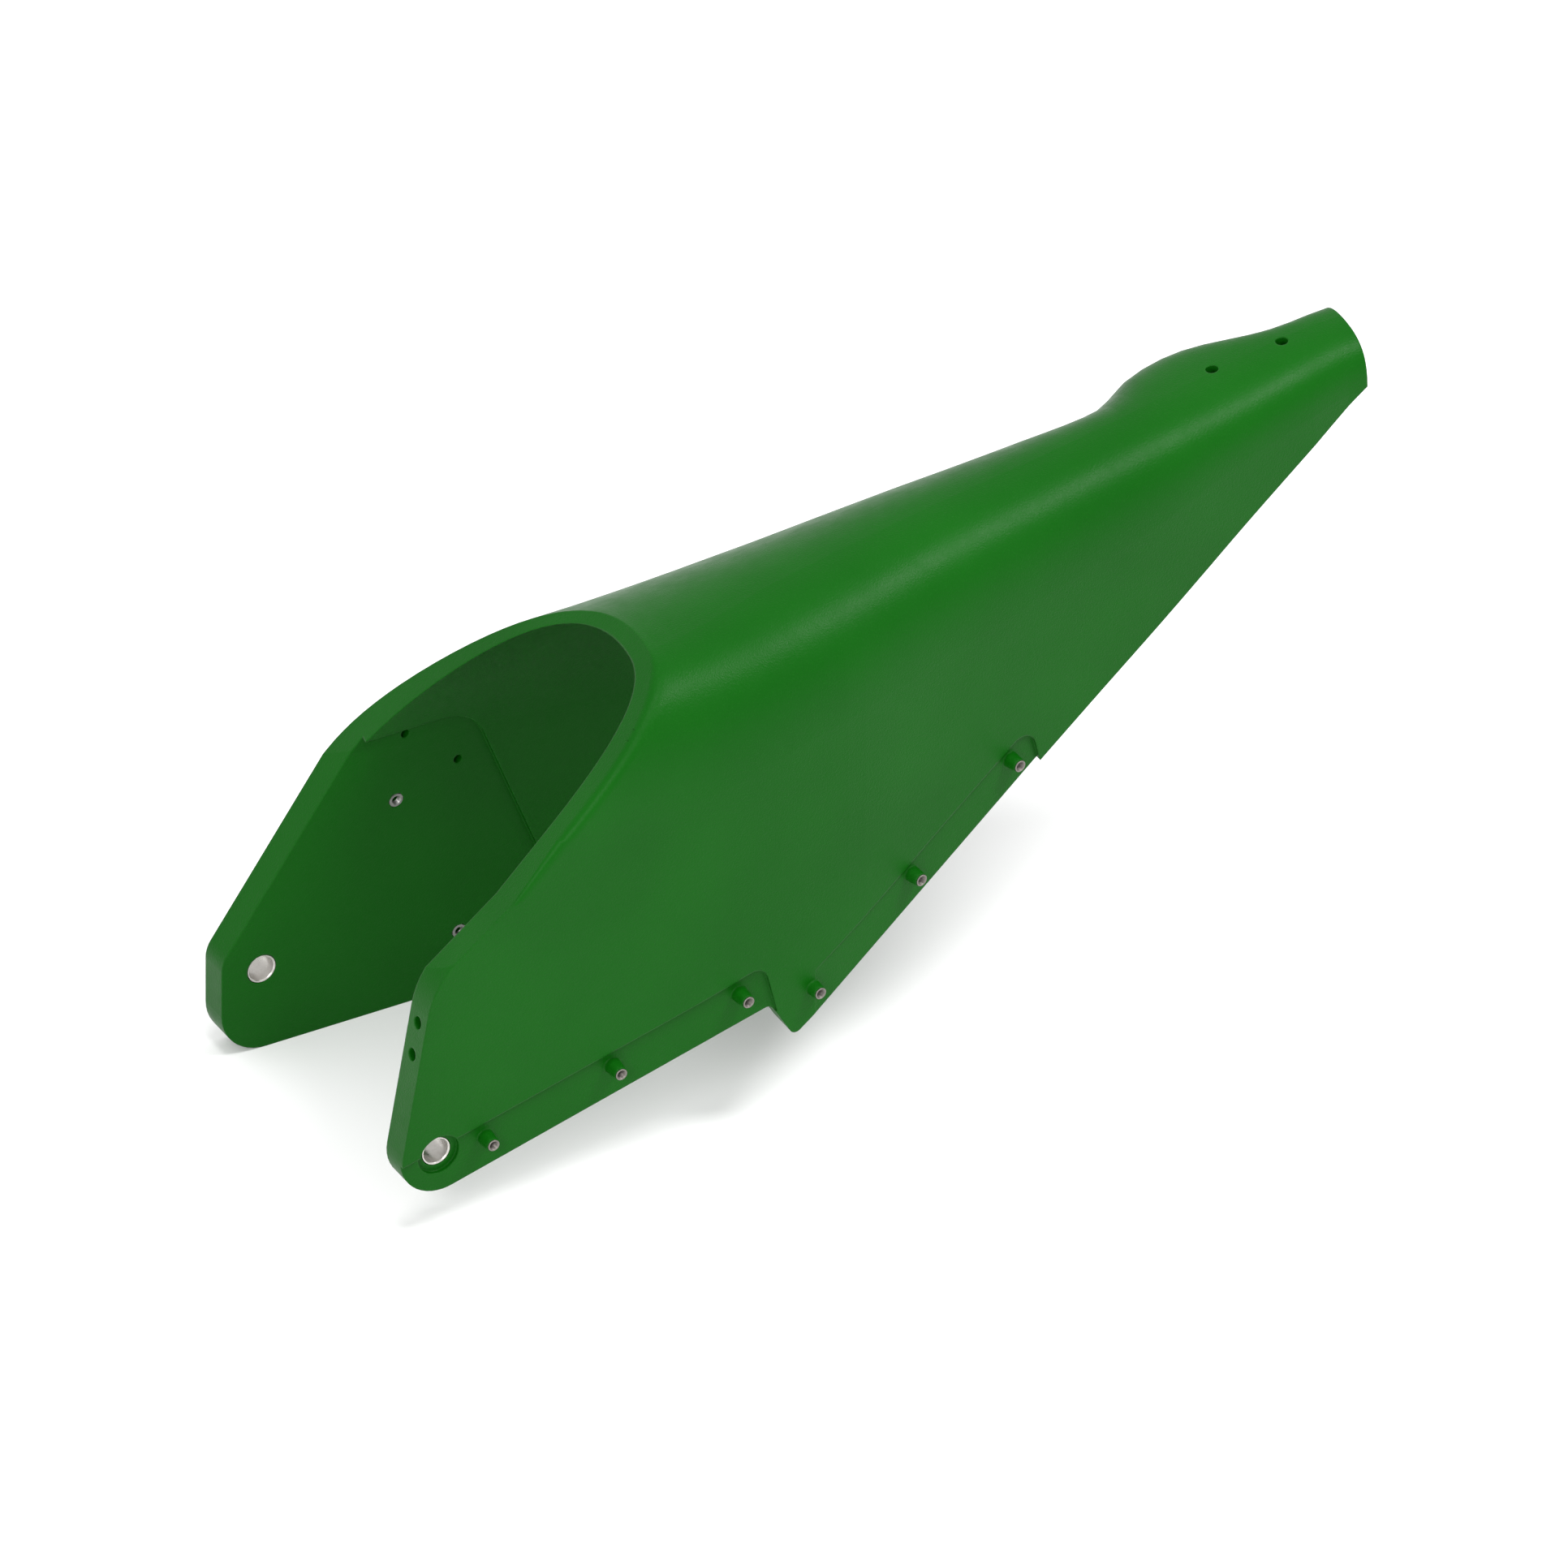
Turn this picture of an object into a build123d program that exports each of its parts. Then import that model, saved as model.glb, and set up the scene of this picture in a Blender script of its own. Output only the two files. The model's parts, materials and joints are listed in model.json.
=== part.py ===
from build123d import *
from math import atan2, cos, degrees, radians, sin, tan
import os

# A hollow moulded fork arm: two cheeks straddle a pivot, and the body behind them narrows and
# rises to a slim tail pad with two screw holes.  Millimetres, +Z up, +X towards the tail, the
# pivot axis along Y through the origin.  "Near" is the -Y side, "far" the +Y side.

# ---- fork and pivot ----
fork_gap = 124.4            # clear width between the two inner cheek faces
cheek_wall = 12.5           # thickness of each cheek
bush_bore_r = 5.0
bush_wall = 1.0
bush_length = 12.0
bush_recess = 3.6           # depth of the counterbore outside the near bush
bush_recess_r = 8.6
press_gap = 0.05            # allowance around bushes, inserts and nuts

# ---- side outline of the near cheek, in the X-Z plane ----
near_front_offset = 16.0    # front edge to pivot axis
near_front_lean = 9.9       # degrees back from vertical
near_edge_offset = 16.5     # front lower edge to pivot axis
near_edge_rise = 14.7       # degrees
near_boss_fillet = 17.0
near_brow_rise = 38.0       # degrees, between the front edge and the rim
near_brow_fillet = 36.0
rim_start_x = 29.7          # where brow and rim meet
tooth_root_x = 139.0
tooth_lean = 60.0           # slope of the tooth's front edge, degrees
tooth_fillet = 3.0

# ---- side outline of the far cheek ----
far_front_x = -16.6
far_bottom_z = -34.8
far_corner_fillet = 18.5
far_lean_start_z = 7.1
far_lean = 55.2             # slope of the straight front edge, degrees
far_lean_fillet = 12.0

# ---- lower edge behind the cheeks, and tail end ----
rear_edge_x = 152.0         # a point on the straight rear lower edge
rear_edge_z = 5.4
rear_edge_step = 1.8        # drop of the edge behind the rear band
tail_x = 411.5
tail_low_z = 178.0          # lower edge at the tail end
tail_near_y = -28.5         # the tail end's two walls
tail_far_y = 9.0

# ---- sloping rim of the mouth: a plane rising at 45 degrees along X ----
rim_height = 58.5           # height of the plane at X = Y = 0
rim_side_drop = 0.179       # its drop per millimetre towards +Y

# ---- walls and cavity ----
roof_wall = 5.6
haunch_wall = 3.4           # the roof is thinner where it turns down to the far cheek
flat_step = 2.4             # how far the far cheek's flat stands back from the cavity wall
flat_top_z = 89.3           # upper edge of the flats inside the cheeks
flat_rear_x = 86.6          # upper rear corner of the flats
flat_rear_slope = 69.0      # degrees
flat_fillet = 20.0
tail_end_wall = 7.5

# ---- studs with threaded inserts along the lower edges ----
insert_r = 2.3
insert_bore_r = 1.5
insert_length = 5.7
insert_proud = 0.3
lead_clearance = 0.2        # the screw's lead hole below each insert
lead_depth = 3.0
stud_length = 6.0
stud_tip_r = 2.55
stud_root_r = 3.4
stud_bury = 1.0             # how far a stud's root runs into the wall
stud_pitch = 55.0
front_stud_line = 12.4      # stud rows above the lower edges
rear_stud_line = 10.1
near_front_row = 19.2       # first stud, along the edge from the pivot
far_front_row = 15.0
rear_row = 12.9             # first rear stud, along the edge from its reference point
near_front_count = 3
far_front_count = 2
rear_count = 3
front_band_height = 20.0    # recessed bands along the lower edges
rear_band_height = 15.6
band_below = 3.0            # overrun of the band's cutter below the edge
band_depth = 1.5
band_end_slope = 76.0       # degrees
band_fillet = 6.0
rear_band_lead = 6.0        # start of the rear band, behind its reference point
rear_band_length = 130.0
front_band_overrun = 1.5    # how far the front band runs past the tooth root
rear_band_run = 110.0       # the rear band's length along X
rear_band_start = 0.1       # its depth at its front end, where it fades out

# ---- screw holes and captive nuts ----
front_hole_r = 2.5
front_hole_depth = 16.0
front_hole_z = (44.2, 57.5)
flat_hole_r = 1.75
flat_hole_depth = 8.0
flat_holes = [(59.8, 84.9), (81.8, 66.4)]
nut_across_flats = 5.5
nut_height = 2.4
nut_bore_r = 1.5
nut_screw_r = 1.7
nut_places = [(56.1, 56.5), (82.4, -10.5)]
tail_hole_r = 2.4
tail_hole_setback = (55.1, 26.0)    # holes ahead of the tail end
tail_hole_y = -10.4
tail_boss_r = 5.6
tail_boss_depth = 14.0

# ---- modelling limits ----
front_x = -24.0             # ahead of every front edge
cheek_end_x = 101.0         # where the cheeks end and the body starts to narrow
low_z = -80.0               # below every lower edge
high_z = 240.0              # above the roof
slice_step = 8.0            # spacing of the body's cross-sections
reach = 60.0                # how far cutting tools overrun
nick = 1.0                  # overrun of a cut that only has to break a surface

half_gap = fork_gap / 2
cheek_y = half_gap + cheek_wall
wall_shoulder = 0.67        # fullness of the near shoulder's curve, up the wall
roof_shoulder = 0.76        # and across the roof

# Cross-sections of the body.  The first number is the place between the cheeks' end (0) and the
# tail end (1).  "Out" says how far a wall still stands out, from 0 at the tail's to 1 at the
# cheek's.  The rest are millimetres.
# place, near out, near knee Z, crown Y, crown Z, roof Y, haunch Y, haunch Z, far out, foot Z, wall
stations = [
    (0.000, 1.000, 122.0, -42, 170.5, 23, 44.6, 127.6, 1.000, 79, cheek_wall),
    (0.209, 0.913, 133.0, -34, 178.0, 13, 39.5, 133.6, 0.925, 78, cheek_wall),
    (0.403, 0.682, 143.0, -28, 184.0, 6, 29.6, 148.6, 0.715, 84, 12.0),
    (0.583, 0.476, 152.0, -22, 187.5, 3, 19, 160.0, 0.518, 98, 10.0),
    (0.692, 0.357, 158.0, -18, 190.0, 0, 12, 172.5, 0.365, 112, 8.0),
    (0.752, 0.284, 163.5, -15, 191.5, 8, 18, 186.5, 0.270, 130, 6.5),
    (0.822, 0.195, 169.0, -12, 193.0, 11, 19, 189.5, 0.198, 150, 5.5),
    (0.919, 0.087, 175.0, -9, 196.0, 2, 7, 192.0, 0.046, 165, 4.5),
    (1.000, 0.000, 178.0, -8, 197.2, 1, 6, 194.0, 0.000, 178, 4.5),
]


def steepness(k, column):
    """Slope of the smooth curve at a station, flat where the values stop changing."""
    last, here, after = stations[max(k - 1, 0)], stations[k], stations[min(k + 1, len(stations) - 1)]
    if k == 0 or after[column] == here[column] or last[column] == here[column]:
        return 0
    return (after[column] - last[column]) / (after[0] - last[0])


def blend(x):
    """Section values at any X: near wall, knee, crown, roof, haunch, far wall, foot, wall."""
    place = max((x - cheek_end_x) / (tail_x - cheek_end_x), 0)
    k = max(i for i in range(len(stations) - 1) if stations[i][0] <= place)
    start, end = stations[k], stations[k + 1]
    span = end[0] - start[0]
    t = (place - start[0]) / span
    values = []
    for column in range(1, len(start)):
        values.append((2 * t**3 - 3 * t**2 + 1) * start[column]
                      + (3 * t**2 - 2 * t**3) * end[column]
                      + (t**3 - 2 * t**2 + t) * span * steepness(k, column)
                      + (t**3 - t**2) * span * steepness(k + 1, column))
    near_out, *rest, far_out, foot, wall = values
    near = tail_near_y - near_out * (cheek_y + tail_near_y)
    far = tail_far_y + far_out * (cheek_y - tail_far_y)
    return [near, *rest, far, foot, wall]


def section(x, hollow=False):
    """Closed arch at one X: near wall, shoulder, crown, roof, far wall, open base."""
    near, knee, crown_y, crown_z, roof_y, haunch_y, haunch_z, far, foot, wall = blend(x)
    if hollow:
        near, far, haunch_y = near + wall, far - wall - flat_step, haunch_y - haunch_wall / 2
        crown_z, knee, haunch_z = crown_z - roof_wall, knee - roof_wall / 2, haunch_z - haunch_wall
        crown_y = max(crown_y + wall / 2, near + nick)
        roof_y = max(roof_y, crown_y + nick)

    def at(y, z):
        return (x, y, z)
    shoulder_z = knee + wall_shoulder * (crown_z - knee)
    shoulder_y = crown_y + roof_shoulder * (near - crown_y)
    return Wire([
        Line(at(near, low_z), at(near, knee)),
        Bezier(at(near, knee), at(near, shoulder_z), at(shoulder_y, crown_z),
               at(crown_y, crown_z)),
        Bezier(at(crown_y, crown_z), at(roof_y, crown_z), at(haunch_y, haunch_z),
               at(far, (haunch_z + foot) / 2), at(far, foot)),
        Line(at(far, foot), at(far, low_z)),
        Line(at(far, low_z), at(near, low_z)),
    ])


def body_solid(x_to, hollow=False):
    """The arch swept from the front to x_to."""
    count = round((x_to - cheek_end_x) / slice_step)
    places = [cheek_end_x + (x_to - cheek_end_x) * k / count for k in range(count + 1)]
    return Solid.make_loft([section(x, hollow) for x in [front_x, *places]], ruled=True)


def outline(points, radii, y_from, y_to):
    """Prism along Y on an X-Z polygon; each corner has its fillet radius, 0 for sharp."""
    face = Face(Wire.make_polygon([(x, 0, z) for x, z in points], close=True))
    for (x, z), radius in zip(points, radii):
        if radius:
            corner = min(face.vertices(), key=lambda v: (v.X - x) ** 2 + (v.Z - z) ** 2)
            face = face.fillet_2d(radius, [corner])
    return Solid.extrude(face.moved(Location((0, y_from, 0))), (0, y_to - y_from, 0))


def meet(p, p_angle, q, q_angle):
    """Point where two X-Z lines meet, each given by a point and an angle in degrees."""
    pc, ps = cos(radians(p_angle)), sin(radians(p_angle))
    qc, qs = cos(radians(q_angle)), sin(radians(q_angle))
    t = ((q[0] - p[0]) * qs - (q[1] - p[1]) * qc) / (pc * qs - ps * qc)
    return (p[0] + t * pc, p[1] + t * ps)


def along(start, angle, distance, lift=0.0):
    """Point at a distance along an X-Z line, lifted at right angles from it."""
    c, s = cos(radians(angle)), sin(radians(angle))
    return (start[0] + distance * c - lift * s, start[1] + distance * s + lift * c)


def rim_z(x, y):
    return x + rim_height - rim_side_drop * y


def wall_y(x, side):
    return blend(x)[0] if side < 0 else blend(x)[7]


# ---- side outlines ----
front_rise = 90 - near_front_lean
front_point = along((0, 0), -near_front_lean, -near_front_offset)
edge_point = along((0, 0), near_edge_rise, 0, -near_edge_offset)
rear_point = (rear_edge_x, rear_edge_z)
rear_edge_rise = degrees(atan2(tail_low_z + rear_edge_step - rear_edge_z,
                               tail_x - rear_edge_x))
band_end = meet(along(rear_point, rear_edge_rise, rear_band_length, -band_below),
                -band_end_slope, rear_point, rear_edge_rise)
step_end = meet(band_end, -band_end_slope, (tail_x, tail_low_z), rear_edge_rise)
tooth_root = meet(edge_point, near_edge_rise, (tooth_root_x, 0), 90)
rim_start = (rim_start_x, rim_z(rim_start_x, -cheek_y))
rear_end = [band_end, step_end, (tail_x, tail_low_z), (tail_x, high_z)]

near_points = [
    meet(front_point, front_rise, edge_point, near_edge_rise), tooth_root,
    meet(tooth_root, -tooth_lean, rear_point, rear_edge_rise), *rear_end,
    (rim_start_x, high_z), rim_start, meet(front_point, front_rise, rim_start, near_brow_rise),
]
near_radii = [near_boss_fillet, tooth_fillet, tooth_fillet, 0, 0, 0, 0, 0, 0, near_brow_fillet]
far_points = [
    (far_front_x, far_bottom_z), meet((0, far_bottom_z), 0, rear_point, rear_edge_rise),
    *rear_end, meet((far_front_x, far_lean_start_z), far_lean, (0, high_z), 0),
    (far_front_x, far_lean_start_z),
]
far_radii = [far_corner_fillet, far_corner_fillet, 0, 0, 0, 0, 0, far_lean_fillet]


def mouth_tool():
    """Everything above the sloping rim, ahead of the body."""
    brow_z = rim_z(rim_start_x, 0) - (rim_start_x + reach) * tan(radians(near_brow_rise))
    points = [(-reach, brow_z), (rim_start_x, rim_z(rim_start_x, 0)),
              (high_z, rim_z(high_z, 0)), (-reach, rim_z(high_z, 0))]
    face = Face(Wire.make_polygon([(x, -high_z, z + rim_side_drop * high_z)
                                   for x, z in points], close=True))
    return Solid.extrude(face, Vector(0, 1, -rim_side_drop) * (2 * high_z))


def build_shell():
    """The arch trimmed to both side outlines and the sloping mouth, then hollowed."""
    sides = outline(near_points, near_radii, -cheek_y - reach, 0).fuse(
        outline(far_points, far_radii, 0, cheek_y + reach))
    shell = (body_solid(tail_x) & sides) - mouth_tool()
    flat_rear = (flat_rear_x, flat_top_z)
    flats = [(-reach, low_z), (-reach, flat_top_z), flat_rear,
             meet(flat_rear, -flat_rear_slope, (0, low_z), 0)]
    shell -= body_solid(tail_x - tail_end_wall, hollow=True)
    return shell - outline(flats, [0, 0, flat_fillet, 0], -half_gap, half_gap)


# ---- recessed bands, studs and inserts on both side walls ----
def wall_frame(x, z, side):
    """Plane on the floor of the band at (x, z), its Z axis pointing out of the wall."""
    slope = (wall_y(x + nick, side) - wall_y(x - nick, side)) / (2 * nick)
    outward = Vector(-side * slope, side, 0).normalized()
    origin = Vector(x, wall_y(x, side), z) - outward * band_depth
    return Plane(origin=origin, z_dir=outward, x_dir=Vector(0, 0, 1))


def band(side, start, angle, height, length, x_from, x_to, depth_from):
    """Cutter that sinks a strip of the outer wall along a lower edge, its rear end cut steep."""
    low = along(start, angle, 0, -band_below)
    rear = along(low, angle, length)
    upper = along(start, angle, 0, height)
    points = [meet(low, angle, (x_from, 0), 90), rear,
              meet(rear, -band_end_slope, upper, angle), meet(upper, angle, (x_from, 0), 90)]
    a = Vector(x_from, wall_y(x_from, side) - side * depth_from, 0)
    b = Vector(x_to, wall_y(x_to, side) - side * band_depth, 0)
    run = (b - a).normalized()
    outward = Vector(-side * run.Y, side * run.X, 0)
    slab = Plane(origin=(a + b) / 2, z_dir=outward, x_dir=run) * Pos(0, 0, reach / 2)
    slab *= Box(2 * tail_x, 2 * high_z, reach)
    prism = outline(points, [0, 0, band_fillet, 0], *sorted((0, side * (cheek_y + reach))))
    return prism & slab


def row(side, place, start, angle, first, line, count):
    """Names and wall frames of one row of studs."""
    side_name = "near" if side < 0 else "far"
    spots = [along(start, angle, first + k * stud_pitch, line) for k in range(count)]
    return [(f"insert_{side_name}_{place}_{k + 1}", wall_frame(x, z, side))
            for k, (x, z) in enumerate(spots)]


def stud_places():
    places = row(-1, "front", edge_point, near_edge_rise, near_front_row, front_stud_line,
                 near_front_count)
    places += row(1, "front", (0, far_bottom_z), 0, far_front_row, front_stud_line,
                  far_front_count)
    for side in (-1, 1):
        places += row(side, "rear", rear_point, rear_edge_rise, rear_row, rear_stud_line,
                      rear_count)
    return places


def add_studs(housing):
    near_length = (tooth_root_x - edge_point[0]) / cos(radians(near_edge_rise))
    housing -= band(-1, edge_point, near_edge_rise, front_band_height,
                    near_length + front_band_overrun, front_x, tooth_root_x, band_depth)
    for side in (-1, 1):
        housing -= band(side, rear_point, rear_edge_rise, rear_band_height, rear_band_length,
                        rear_edge_x + rear_band_lead, rear_edge_x + rear_band_run,
                        rear_band_start)
    for name, frame in stud_places():
        root = Plane(origin=frame.origin - frame.z_dir * stud_bury, z_dir=frame.z_dir)
        housing += Solid.make_cone(stud_root_r, stud_tip_r, stud_length + stud_bury, root)
    for name, frame in stud_places():
        seat = insert_seat(frame)
        housing -= Solid.make_cylinder(insert_r + press_gap, reach, seat)
        lead = Plane(origin=seat.origin - seat.z_dir * lead_depth, z_dir=seat.z_dir)
        housing -= Solid.make_cylinder(insert_bore_r + lead_clearance, lead_depth + nick, lead)
    return housing


def insert_seat(frame):
    """Plane at the inner end of a stud's insert."""
    rise = stud_length + insert_proud - insert_length
    return Plane(origin=frame.origin + frame.z_dir * rise, z_dir=frame.z_dir)


# ---- holes ----
def along_y(x, z, y_from, y_to, radius):
    return Solid.make_cylinder(radius, y_to - y_from,
                               Plane(origin=(x, y_from, z), z_dir=(0, 1, 0)))


def nut_prism(x, z, across_flats, y_from, y_to):
    corner_r = across_flats / 3**0.5
    corners = [(x + corner_r * cos(radians(60 * k)), y_from, z + corner_r * sin(radians(60 * k)))
               for k in range(6)]
    return Solid.extrude(Face(Wire.make_polygon(corners, close=True)), (0, y_to - y_from, 0))


def drill_pivot(housing):
    housing -= along_y(0, 0, -cheek_y - nick, cheek_y + nick, bush_bore_r + bush_wall + press_gap)
    return housing - along_y(0, 0, -cheek_y - nick, bush_recess - cheek_y, bush_recess_r)


def drill_front(housing):
    """Two screw holes in the front edge of the near cheek."""
    inward = Vector(sin(radians(front_rise)), 0, -cos(radians(front_rise)))
    for z in front_hole_z:
        x = meet(front_point, front_rise, (0, z), 0)[0]
        start = Vector(x, -half_gap - cheek_wall / 2, z) - inward * nick
        housing -= Solid.make_cylinder(front_hole_r, front_hole_depth + nick,
                                       Plane(origin=start, z_dir=inward))
    return housing


def drill_flats(housing):
    """Screw holes and nut pockets in the far cheek's inner face."""
    for x, z in flat_holes:
        housing -= along_y(x, z, 0, half_gap + flat_hole_depth, flat_hole_r)
    for x, z in nut_places:
        housing -= along_y(x, z, 0, cheek_y + reach, nut_screw_r)
        housing -= nut_prism(x, z, nut_across_flats + 2 * press_gap, 0, half_gap + nut_height)
    return housing


def drill_tail(housing):
    """Bosses under the tail pad, each with a through hole."""
    for setback in tail_hole_setback:
        x = tail_x - setback
        crown = blend(x)[3]
        boss_z = crown - roof_wall - tail_boss_depth / 2
        housing += Pos(x, tail_hole_y, boss_z) * Cylinder(tail_boss_r, tail_boss_depth)
        housing -= Pos(x, tail_hole_y, crown - tail_boss_depth) * Cylinder(tail_hole_r, reach)
    return housing


def build_housing():
    return drill_tail(drill_flats(drill_front(drill_pivot(add_studs(build_shell())))))


def build_bush(y_from):
    bush = along_y(0, 0, y_from, y_from + bush_length, bush_bore_r + bush_wall)
    return bush - along_y(0, 0, y_from, y_from + bush_length, bush_bore_r)


def build_insert(frame):
    seat = insert_seat(frame)
    insert = Solid.make_cylinder(insert_r, insert_length, seat)
    return insert - Solid.make_cylinder(insert_bore_r, insert_length, seat)


def build_nut(x, z):
    nut = nut_prism(x, z, nut_across_flats, half_gap, half_gap + nut_height)
    return nut - along_y(x, z, half_gap, half_gap + nut_height, nut_bore_r)


def write(node, shape):
    shape.label = node
    export_step(shape, f"parts/{node}.step")


os.makedirs("parts", exist_ok=True)
housing = build_housing()
print("housing", housing.volume, housing.is_valid, len(housing.solids()))
write("housing", housing)
write("pivot_bush_near", build_bush(bush_recess - cheek_y))
write("pivot_bush_far", build_bush(half_gap))
for name, frame in stud_places():
    write(name, build_insert(frame))
for k, (x, z) in enumerate(nut_places):
    write(f"cheek_nut_{k + 1}", build_nut(x, z))
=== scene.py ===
import json
import math

import bmesh
import bpy
from mathutils import Matrix, Vector


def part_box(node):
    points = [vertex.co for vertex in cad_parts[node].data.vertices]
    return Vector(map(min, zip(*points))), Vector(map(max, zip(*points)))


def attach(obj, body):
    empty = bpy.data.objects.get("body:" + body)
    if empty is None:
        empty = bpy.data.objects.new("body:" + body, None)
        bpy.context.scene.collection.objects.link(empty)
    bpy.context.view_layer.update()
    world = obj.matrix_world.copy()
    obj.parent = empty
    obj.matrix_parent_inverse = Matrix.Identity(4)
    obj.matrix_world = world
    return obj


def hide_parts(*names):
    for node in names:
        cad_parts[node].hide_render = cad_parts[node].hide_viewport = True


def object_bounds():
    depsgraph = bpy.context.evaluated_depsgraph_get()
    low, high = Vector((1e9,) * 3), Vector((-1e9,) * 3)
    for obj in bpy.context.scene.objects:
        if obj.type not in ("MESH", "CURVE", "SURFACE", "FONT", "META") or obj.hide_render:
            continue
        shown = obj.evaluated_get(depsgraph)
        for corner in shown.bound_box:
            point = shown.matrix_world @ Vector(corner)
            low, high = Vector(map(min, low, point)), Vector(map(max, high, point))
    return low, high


# A moulded green fork arm on a pale floor.  The shell is the CAD one in a grained plastic, with
# the near side of its sloping rim rounded over; the metal bushes, inserts and nuts are rebuilt in
# finer detail in the places of their CAD nodes.  Metres, in the frame's own axes.

MM = 0.001

# ---- camera ----
AZIMUTH = -28.6                 # degrees
ELEVATION = 34.7
PICTURE_WIDTH = 573.8 * MM      # what the parallel camera sees, side to side
SHIFT_RIGHT = -12.0 * MM        # picture centre from the object's centre
SHIFT_UP = -21.8 * MM
CAMERA_DISTANCE = 2.0

# ---- shell ----
WELD = 0.002 * MM               # the CAD mesh's split corners are joined within this
SHARP = math.radians(32)        # a steeper edge than this stays crisp
RIM_ROUND = 4.5 * MM            # how far the rounding runs along both surfaces from the rim's edge
RIM_STEPS = 9
RIM_FADE = 25 * MM              # length over which the rounding starts and ends
RIM_CRISP_Y = -40 * MM          # the rim is crisp from here towards the far side
RIM_SLOPE = 0.6                 # the rim is the largest face that tilts at least this much
FLUSH = 0.9999                  # cosine above which a face lies in the rim's plane
OUTWARD = 0.3                   # how much an outer face points to the near side or up

# ---- metal parts ----
RING_STEPS = 72
THREAD_PITCH = 0.5 * MM
THREAD_DEPTH = 0.18 * MM
CREST_END = 0.2                 # shares of one thread turn: end of its crest,
ROOT_START = 0.55               # and both ends of its root
ROOT_END = 0.65
CHAMFER = 0.35 * MM             # at the mouths of threaded bores
BUSH_LIP = 0.3                  # bevel at a bush's ends, as a share of its wall
KNURL_TEETH = 24
KNURL_DEPTH = 0.12 * MM
KNURL_START = 0.3 * MM          # from the insert's inner end
KNURL_RUNOUT = 0.25 * MM        # where the knurl ends, below the collar
GROOVE = 0.15 * MM              # length of the groove before the collar, and of its slope up
COLLAR = 1.1 * MM
COLLAR_EDGE = 0.12 * MM
NUT_FACE = 0.97                 # a nut's round face, as a share of its inner radius
NUT_TURN = math.radians(30)     # slope of its turned-off corners

# ---- finishes ----
MOULD_RADIUS = 1.0 * MM         # how softly the plastic's edges catch the light
ROUND_SAMPLES = 6
EDGE_SAMPLES = 4

# ---- stage ----
FLOOR_REACH = 6.0
WORLD_STRENGTH = 0.97
# name, direction from the object, distance, diameter, power
LIGHTS = [
    ("key", (0.42, -0.36, 0.84), 1.2, 0.36, 10),
    ("rim", (-0.3, -0.12, 0.95), 1.3, 0.25, 4),
    ("fill", (-0.68, -0.56, 0.46), 1.4, 0.4, 7),
]

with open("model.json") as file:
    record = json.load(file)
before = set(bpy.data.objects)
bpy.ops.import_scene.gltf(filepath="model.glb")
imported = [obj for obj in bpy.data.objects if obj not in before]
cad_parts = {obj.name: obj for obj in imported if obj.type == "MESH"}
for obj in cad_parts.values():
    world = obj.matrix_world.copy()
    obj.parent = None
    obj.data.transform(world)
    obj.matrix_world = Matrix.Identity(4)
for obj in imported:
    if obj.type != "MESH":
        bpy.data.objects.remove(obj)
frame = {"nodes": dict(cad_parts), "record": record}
cad_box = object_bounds()
mounts = {m["name"]: m for m in frame["record"]["mounts"]}


# ---- node helpers ----
def new_material(name):
    material = bpy.data.materials.new(name)
    material.use_nodes = True
    nodes = material.node_tree.nodes
    return material, nodes, material.node_tree.links, nodes["Principled BSDF"]


def coordinates(nodes, links, scale):
    """Object coordinates stretched by scale, so a texture's size is set in metres."""
    source = nodes.new("ShaderNodeTexCoord")
    mapping = nodes.new("ShaderNodeMapping")
    mapping.inputs["Scale"].default_value = (scale, scale, scale)
    links.new(source.outputs["Object"], mapping.inputs["Vector"])
    return mapping.outputs["Vector"]


def noise(nodes, links, size, detail=3.0, rough=0.5):
    """Noise whose blobs are about `size` metres across."""
    texture = nodes.new("ShaderNodeTexNoise")
    texture.inputs["Scale"].default_value = 1.0
    texture.inputs["Detail"].default_value = detail
    texture.inputs["Roughness"].default_value = rough
    links.new(coordinates(nodes, links, 1 / size), texture.inputs["Vector"])
    return texture.outputs["Fac"]


def remap(nodes, links, value, low, high, to_low, to_high):
    node = nodes.new("ShaderNodeMapRange")
    node.inputs["From Min"].default_value = low
    node.inputs["From Max"].default_value = high
    node.inputs["To Min"].default_value = to_low
    node.inputs["To Max"].default_value = to_high
    links.new(value, node.inputs["Value"])
    return node.outputs["Result"]


def mix_color(nodes, links, factor, a, b):
    """Colour mix; a and b are colours or sockets."""
    node = nodes.new("ShaderNodeMix")
    node.data_type = "RGBA"
    links.new(factor, node.inputs["Factor"])
    for socket, colour in ((node.inputs["A"], a), (node.inputs["B"], b)):
        if hasattr(colour, "is_output"):
            links.new(colour, socket)
        else:
            socket.default_value = (*colour, 1)
    return node.outputs["Result"]


def mix_value(nodes, links, operation, a, b):
    node = nodes.new("ShaderNodeMath")
    node.operation = operation
    for socket, value in zip(node.inputs, (a, b)):
        if hasattr(value, "is_output"):
            links.new(value, socket)
        else:
            socket.default_value = value
    return node.outputs["Value"]


def bump(nodes, links, height, strength, distance, normal=None):
    node = nodes.new("ShaderNodeBump")
    node.inputs["Strength"].default_value = strength
    node.inputs["Distance"].default_value = distance
    links.new(height, node.inputs["Height"])
    if normal:
        links.new(normal, node.inputs["Normal"])
    return node.outputs["Normal"]


def rounded(nodes, radius, samples):
    """Normal that runs smoothly over every edge, as a moulded edge does."""
    bevel = nodes.new("ShaderNodeBevel")
    bevel.inputs["Radius"].default_value = radius
    bevel.samples = samples
    return bevel.outputs["Normal"]


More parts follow.
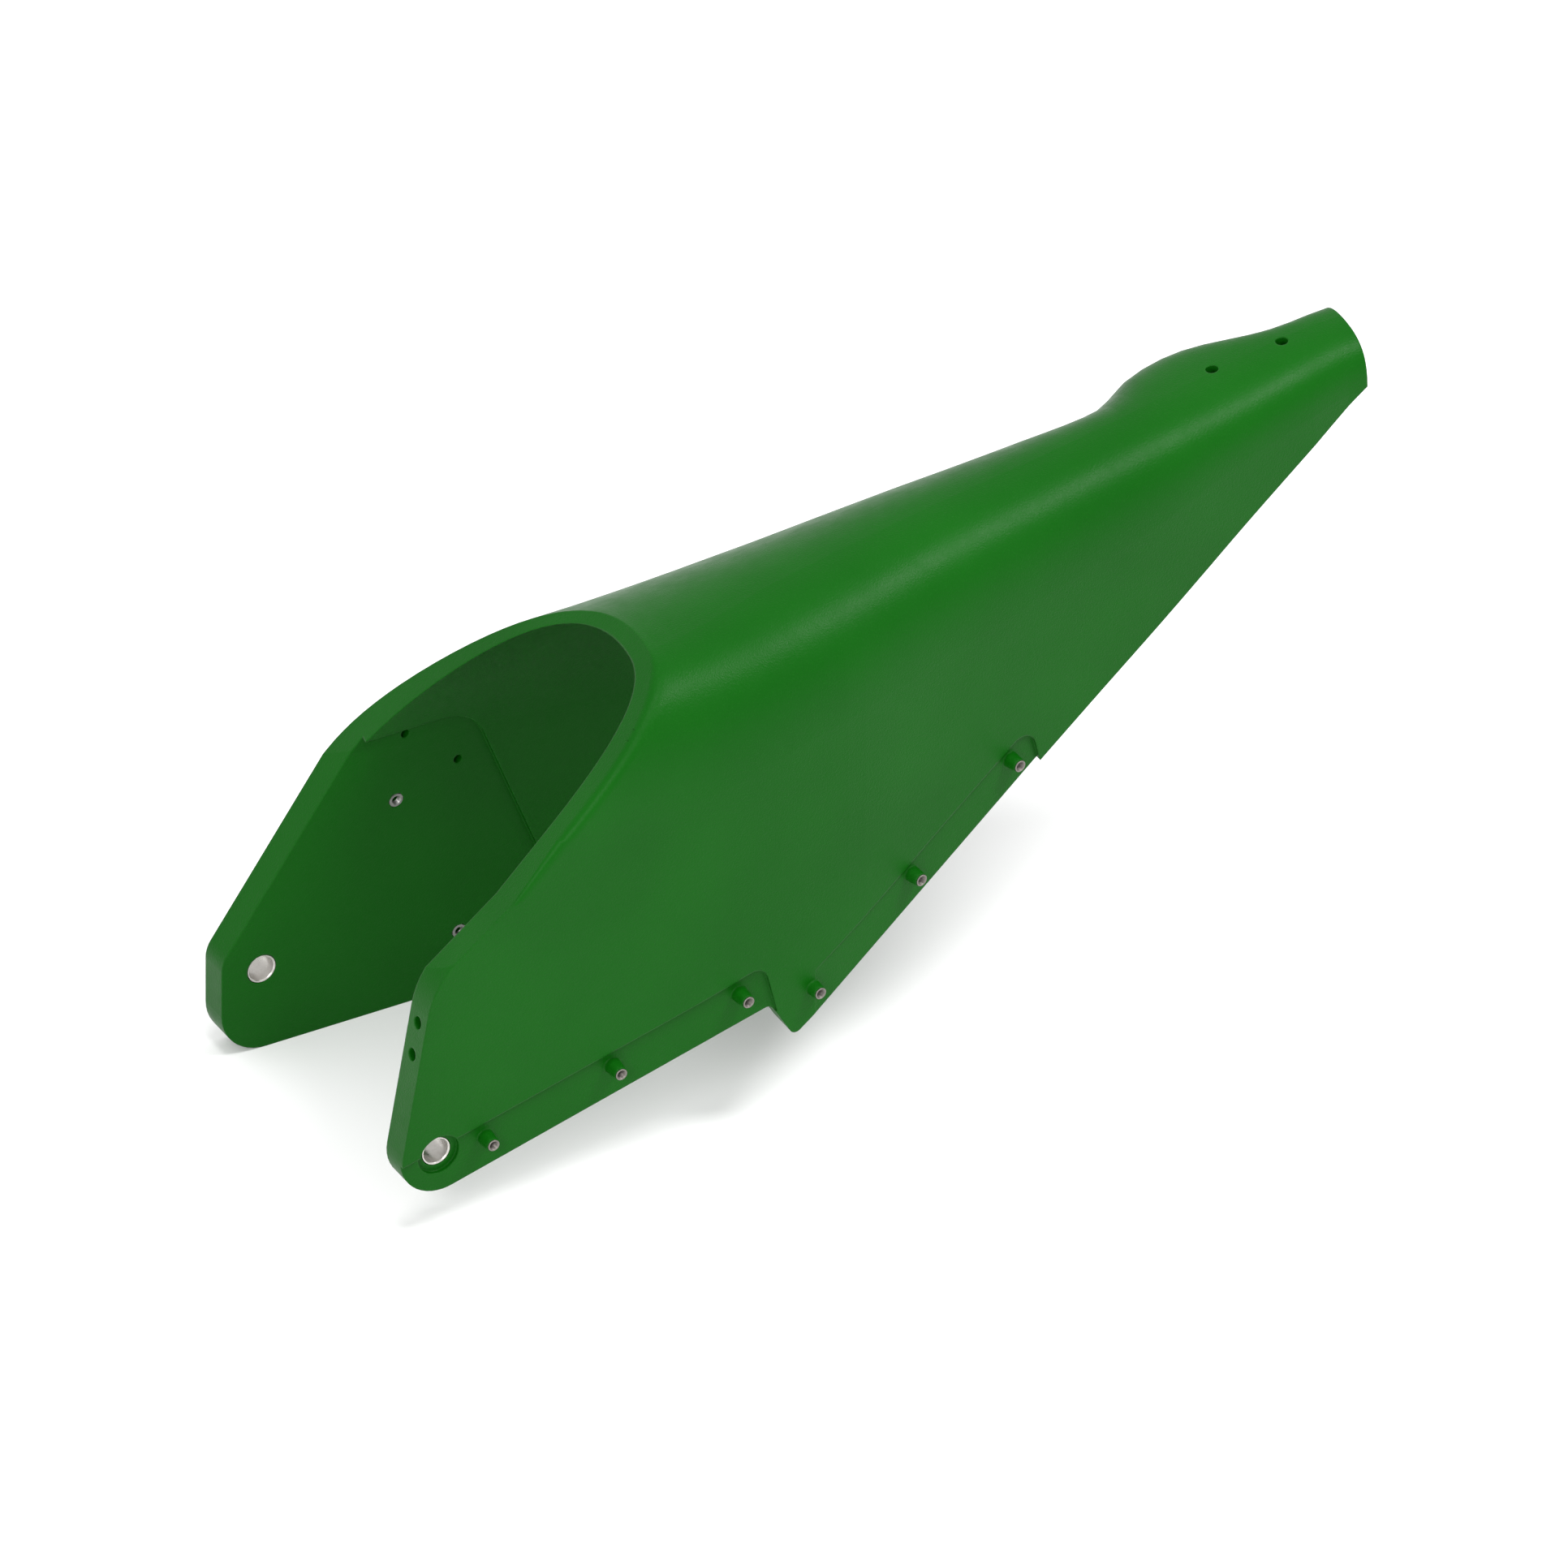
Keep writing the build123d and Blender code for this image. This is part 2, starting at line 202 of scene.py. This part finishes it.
def edge_mask(nodes, links, radius):
    """0 on open surface, towards 1 on a convex or concave edge."""
    smooth = rounded(nodes, radius, EDGE_SAMPLES)
    geometry = nodes.new("ShaderNodeNewGeometry")
    dot = nodes.new("ShaderNodeVectorMath")
    dot.operation = "DOT_PRODUCT"
    links.new(smooth, dot.inputs[0])
    links.new(geometry.outputs["Normal"], dot.inputs[1])
    return remap(nodes, links, dot.outputs["Value"], 0.995, 0.85, 0.0, 1.0)


# ---- materials ----
def shell_plastic():
    """Green moulded plastic with a fine spark-eroded grain, a little glossier along its edges, and
    a speckled highlight painted in lighter green along every edge.
    """
    material, nodes, links, shader = new_material("shell_plastic")
    cloud = noise(nodes, links, 60 * MM, 2.0)
    body = mix_color(nodes, links, remap(nodes, links, cloud, 0.35, 0.65, 0, 1),
                     (0.0016, 0.069, 0.0015), (0.0022, 0.077, 0.0020))
    speck = noise(nodes, links, 0.55 * MM, 4.0, 0.65)
    flecked = mix_color(nodes, links, remap(nodes, links, speck, 0.56, 0.72, 0, 0.35),
                        body, (0.010, 0.12, 0.009))
    # Painted highlight: a lighter green, speckled by the grain, is painted along every convex and
    # concave edge; the same edge mask also makes the edges a little glossier.
    edge = edge_mask(nodes, links, 0.9 * MM)
    patchy = remap(nodes, links, speck, 0.3, 0.7, 0.1, 0.5)
    painted_edge_highlight = mix_value(nodes, links, "MULTIPLY", edge, patchy)
    links.new(mix_color(nodes, links, painted_edge_highlight, flecked, (0.020, 0.14, 0.018)),
              shader.inputs["Base Color"])
    grain_rough = remap(nodes, links, noise(nodes, links, 7 * MM, 3.0), 0.3, 0.7, 0.32, 0.4)
    links.new(mix_value(nodes, links, "SUBTRACT", grain_rough,
                        mix_value(nodes, links, "MULTIPLY", edge, 0.08)),
              shader.inputs["Roughness"])
    shader.inputs["Specular IOR Level"].default_value = 0.085
    coarse = bump(nodes, links, noise(nodes, links, 1.1 * MM, 2.0), 0.3, 0.15 * MM,
                  rounded(nodes, MOULD_RADIUS, ROUND_SAMPLES))
    fine = bump(nodes, links, noise(nodes, links, 0.6 * MM, 3.0, 0.6), 1.0, 0.14 * MM, coarse)
    links.new(fine, shader.inputs["Normal"])
    return material


def metal(name, colour, dark, roughness, grain):
    """Plated steel or brass: faint stains, turning marks, and a highlight painted in a lighter
    colour along every edge.
    """
    material, nodes, links, shader = new_material(name)
    stain = remap(nodes, links, noise(nodes, links, 2.2 * MM, 4.0, 0.6), 0.4, 0.75, 0, 0.5)
    base = mix_color(nodes, links, stain, colour, dark)
    # Painted highlight: every convex and concave edge is painted lighter than the metal's own
    # colour.
    painted_edge_glint = mix_value(nodes, links, "MULTIPLY", edge_mask(nodes, links, 0.25 * MM), 0.6)
    glint_colour = tuple(min(1.0, c * 1.25) for c in colour)
    links.new(mix_color(nodes, links, painted_edge_glint, base, glint_colour), shader.inputs["Base Color"])
    shader.inputs["Metallic"].default_value = 0.85
    links.new(remap(nodes, links, noise(nodes, links, 0.8 * MM, 3.0), 0.3, 0.7,
                    roughness - 0.08, roughness + 0.08), shader.inputs["Roughness"])
    marks = noise(nodes, links, grain, 2.0)
    links.new(bump(nodes, links, marks, 0.25, 0.03 * MM), shader.inputs["Normal"])
    return material


def floor_paper():
    material, nodes, links, shader = new_material("floor_paper")
    tone = noise(nodes, links, 0.4, 2.0)
    links.new(mix_color(nodes, links, tone, (0.9, 0.9, 0.9), (0.94, 0.94, 0.94)),
              shader.inputs["Base Color"])
    shader.inputs["Roughness"].default_value = 0.95
    shader.inputs["Specular IOR Level"].default_value = 0.1
    return material


# ---- mesh helpers ----
def piece(name, bm, material, node, normals=None):
    """A finished mesh put in the place of one CAD node, which it hides; it hangs from the root
    body.
    """
    bmesh.ops.recalc_face_normals(bm, faces=bm.faces)
    mesh = bpy.data.meshes.new(name)
    bm.to_mesh(mesh)
    bm.free()
    mesh.materials.append(material)
    obj = bpy.data.objects.new(name, mesh)
    bpy.context.scene.collection.objects.link(obj)
    mesh.shade_smooth()
    if normals:
        mesh.normals_split_custom_set(normals)
    else:
        mesh.set_sharp_from_angle(angle=SHARP)
    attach(obj, "root")
    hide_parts(node)
    return obj


def turned(rings, axis_frame):
    """Closed mesh through rings of (radius, height), the last one joined to the first.

    Radius and height are each a number or a function of the angle.
    """
    bm = bmesh.new()
    rows = []
    for radius, height in rings:
        row = []
        for k in range(RING_STEPS):
            a = 2 * math.pi * k / RING_STEPS
            r = radius(a) if callable(radius) else radius
            z = height(a) if callable(height) else height
            spot = Vector((r * math.cos(a), r * math.sin(a), z))
            row.append(bm.verts.new(axis_frame @ spot))
        rows.append(row)
    for row, following in zip(rows, rows[1:] + rows[:1]):
        for k in range(RING_STEPS):
            after = (k + 1) % RING_STEPS
            bm.faces.new((row[k], row[after], following[after], following[k]))
    return bm


def thread(bore, low, high):
    """Rings down a threaded bore from high to low, over its crests and roots."""
    turns = int((high - low) / THREAD_PITCH)
    step = (high - low) / turns
    root = bore + THREAD_DEPTH
    rings = []
    for k in range(turns):
        top = high - k * step
        rings += [(bore, top), (bore, top - CREST_END * step),
                  (root, top - ROOT_START * step), (root, top - ROOT_END * step)]
    return rings + [(bore, low)]


def frame_at(place, direction):
    """Matrix whose Z axis is the direction, at the place."""
    turn = Vector(direction).to_track_quat("Z", "Y").to_matrix().to_4x4()
    return Matrix.Translation(place) @ turn


# ---- bushes ----
def make_bush(node, material):
    """Plain sleeve, bevelled inside and out at both ends."""
    low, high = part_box(node)
    outer = (high.x - low.x) / 2
    bore = mounts["pivot_bore"]["dims"]["r_mm"] * MM
    length = high.y - low.y
    centre = (low + high) / 2
    lip = BUSH_LIP * (outer - bore)
    rings = [(bore + lip, 0), (outer - lip, 0), (outer, 2 * lip), (outer, length - 2 * lip),
             (outer - lip, length), (bore + lip, length), (bore, length - lip), (bore, lip)]
    bm = turned(rings, frame_at((centre.x, low.y, centre.z), (0, 1, 0)))
    return piece(f"{node}_sleeve", bm, material, node)


# ---- knurled inserts ----
def insert_radius():
    """Read off an insert whose axis is the frame's Y, so that its box shows its width."""
    low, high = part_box("insert_near_front_1")
    return (high.x - low.x) / 2


def make_insert(node, material):
    """Insert with a smooth collar at its mouth, a knurled body and a threaded bore."""
    mount = mounts[f"{node}_thread"]
    bore = mount["dims"]["r_mm"] * MM
    half = mount["dims"]["length_mm"] * MM / 2
    outer = insert_radius()
    neck = outer - KNURL_DEPTH
    collar = half - COLLAR

    def knurled(a):
        return outer - KNURL_DEPTH * (0.5 + 0.5 * math.cos(KNURL_TEETH * a))

    rings = [(bore + CHAMFER, -half), (neck, -half), (knurled, -half + KNURL_START),
             (knurled, collar - KNURL_RUNOUT), (neck, collar - GROOVE), (neck, collar),
             (outer, collar + GROOVE), (outer, half - COLLAR_EDGE), (outer - COLLAR_EDGE, half),
             (bore + CHAMFER, half)]
    rings += thread(bore, -half + CHAMFER, half - CHAMFER)
    bm = turned(rings, frame_at(mount["pos_m"], mount["axis"]))
    return piece(f"{node}_threaded", bm, material, node)


# ---- nuts ----
def make_nut(node, material):
    """Hexagon nut, its corners turned off at both faces, with a threaded bore."""
    low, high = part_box(node)
    bore = mounts[f"{node}_thread"]["dims"]["r_mm"] * MM
    inner_r = (high.z - low.z) / 2
    height = high.y - low.y
    centre = (low + high) / 2
    face_r = NUT_FACE * inner_r

    def side(a):
        turn = (a + math.pi / 2) % (math.pi / 3) - math.pi / 6
        return inner_r / math.cos(turn)

    def drop(a):
        return (side(a) - face_r) * math.tan(NUT_TURN)

    rings = [(bore + CHAMFER, 0), (face_r, 0), (side, drop), (side, lambda a: height - drop(a)),
             (face_r, height), (bore + CHAMFER, height)]
    rings += thread(bore, CHAMFER, height - CHAMFER)
    bm = turned(rings, frame_at((centre.x, low.y, centre.z), (0, 1, 0)))
    return piece(f"{node}_hex", bm, material, node)


# ---- shell ----
def smooth_step(low, high, value):
    """0 up to low, 1 from high on, with a soft start and end between them."""
    t = min(max((value - low) / (high - low), 0), 1)
    return t * t * (3 - 2 * t)


def weighted_normal(faces):
    return sum((f.normal * f.calc_area() for f in faces), Vector()).normalized()


def round_rim(bm):
    """Rolls the near wall over into the sloping rim, along a curve tangent to both.

    Planes parallel to the rim cut the wall first, closer together towards the rim's edge.
    Returns the faces that were moved.
    """
    rim = max((f for f in bm.faces if f.normal.x < -RIM_SLOPE and f.normal.z > RIM_SLOPE),
              key=lambda f: f.calc_area())
    up, point = rim.normal.copy(), rim.calc_center_median()
    start_x = min(v.co.x for f in bm.faces if f.normal.dot(up) > FLUSH for v in f.verts)
    for k in range(RIM_STEPS):
        depth = RIM_ROUND * (1 - k / RIM_STEPS) ** 2
        bmesh.ops.bisect_plane(bm, geom=bm.verts[:] + bm.edges[:] + bm.faces[:],
                               plane_co=point - up * depth, plane_no=up)
    moves = []
    for vert in bm.verts:
        below = (point - vert.co).dot(up)
        outer = [f for f in vert.link_faces if f.normal.dot(up) < FLUSH
                 and (f.normal.y < -OUTWARD or f.normal.z > OUTWARD)]
        if not outer or below < -WELD or below > RIM_ROUND:
            continue
        normal = weighted_normal(outer)
        cosine = normal.dot(up)
        run = RIM_ROUND * smooth_step(start_x, start_x + RIM_FADE, vert.co.x)
        run *= 1 - smooth_step(RIM_CRISP_Y - RIM_FADE, RIM_CRISP_Y, vert.co.y)
        along = max(below, 0) / math.sqrt(1 - cosine * cosine)
        if along < run:
            inward = (up * cosine - normal).normalized()
            moves.append((vert, inward * run * (1 - math.sqrt(along / run)) ** 2))
    for vert, move in moves:
        vert.co += move
    bm.normal_update()
    return {face for vert, move in moves for face in vert.link_faces}


def corner_normals(bm, kept, rolled, turn):
    """The CAD's own normals where its surface is untouched, smooth ones where it rolls over."""
    normals = []
    for face in bm.faces:
        for loop in face.loops:
            around = [f for f in loop.vert.link_faces
                      if f.normal.dot(face.normal) > math.cos(SHARP)]
            if face in rolled or any(f in rolled for f in around):
                normals.append(weighted_normal(around))
            else:
                normals.append((turn @ loop[kept]).normalized())
    return normals


def make_shell(material):
    """The CAD shell as one welded mesh with its rim rounded over."""
    shell = frame["nodes"]["housing"]
    mesh = shell.data.copy()
    kept = mesh.attributes.new("cad_normal", "FLOAT_VECTOR", "CORNER")
    for spot, normal in zip(kept.data, shell.data.corner_normals):
        spot.vector = normal.vector
    bm = bmesh.new()
    bm.from_mesh(mesh)
    bm.transform(shell.matrix_world)
    bmesh.ops.remove_doubles(bm, verts=bm.verts, dist=WELD)
    bmesh.ops.recalc_face_normals(bm, faces=bm.faces)
    rolled = round_rim(bm)
    normals = corner_normals(bm, bm.loops.layers.float_vector["cad_normal"], rolled,
                             shell.matrix_world.to_3x3())
    return piece("housing_shell", bm, material, "housing", normals)


# ---- stage ----
def make_floor(z):
    bm = bmesh.new()
    corners = [(-FLOOR_REACH, -FLOOR_REACH), (FLOOR_REACH, -FLOOR_REACH),
               (FLOOR_REACH, FLOOR_REACH), (-FLOOR_REACH, FLOOR_REACH)]
    bm.faces.new([bm.verts.new((x, y, z)) for x, y in corners])
    mesh = bpy.data.meshes.new("floor")
    bm.to_mesh(mesh)
    bm.free()
    mesh.materials.append(floor_paper())
    floor = bpy.data.objects.new("floor", mesh)
    bpy.context.scene.collection.objects.link(floor)


def area_light(centre, name, direction, distance, size, power):
    """White disk that faces the centre."""
    data = bpy.data.lights.new(name, "AREA")
    data.shape = "DISK"
    data.size = size
    data.energy = power
    light = bpy.data.objects.new(name, data)
    toward = Vector(direction).normalized()
    light.location = centre + toward * distance
    light.rotation_euler = toward.to_track_quat("Z", "Y").to_euler()
    bpy.context.scene.collection.objects.link(light)


def make_world():
    world = bpy.data.worlds.new("studio")
    world.use_nodes = True
    background = world.node_tree.nodes["Background"]
    background.inputs["Color"].default_value = (1.0, 1.0, 1.0, 1)
    background.inputs["Strength"].default_value = WORLD_STRENGTH
    bpy.context.scene.world = world


def make_camera(centre):
    a, e = math.radians(AZIMUTH), math.radians(ELEVATION)
    back = Vector((math.sin(a) * math.cos(e), -math.cos(a) * math.cos(e), math.sin(e)))
    right = Vector((math.cos(a), math.sin(a), 0))
    up = back.cross(right)
    data = bpy.data.cameras.new("camera")
    data.type = "ORTHO"
    data.ortho_scale = PICTURE_WIDTH
    camera = bpy.data.objects.new("camera", data)
    camera.location = centre + back * CAMERA_DISTANCE + right * SHIFT_RIGHT + up * SHIFT_UP
    camera.rotation_euler = back.to_track_quat("Z", "Y").to_euler()
    bpy.context.scene.collection.objects.link(camera)
    bpy.context.scene.camera = camera


# ---- assembly ----
bush_steel = metal("bush_steel", (0.56, 0.54, 0.51), (0.43, 0.41, 0.38), 0.34, 0.25 * MM)
insert_plate = metal("insert_plate", (0.19, 0.175, 0.16), (0.12, 0.11, 0.1), 0.45, 0.2 * MM)
nut_plate = metal("nut_plate", (0.25, 0.25, 0.24), (0.17, 0.17, 0.16), 0.42, 0.2 * MM)
make_shell(shell_plastic())
for node_name in sorted(frame["nodes"]):
    if node_name.startswith("pivot_bush"):
        make_bush(node_name, bush_steel)
    elif node_name.startswith("insert"):
        make_insert(node_name, insert_plate)
    elif node_name.startswith("cheek_nut"):
        make_nut(node_name, nut_plate)

middle = (cad_box[0] + cad_box[1]) / 2
make_floor(cad_box[0].z)
make_world()
for light in LIGHTS:
    area_light(middle, *light)
make_camera(middle)
bpy.context.scene.view_settings.view_transform = "Standard"
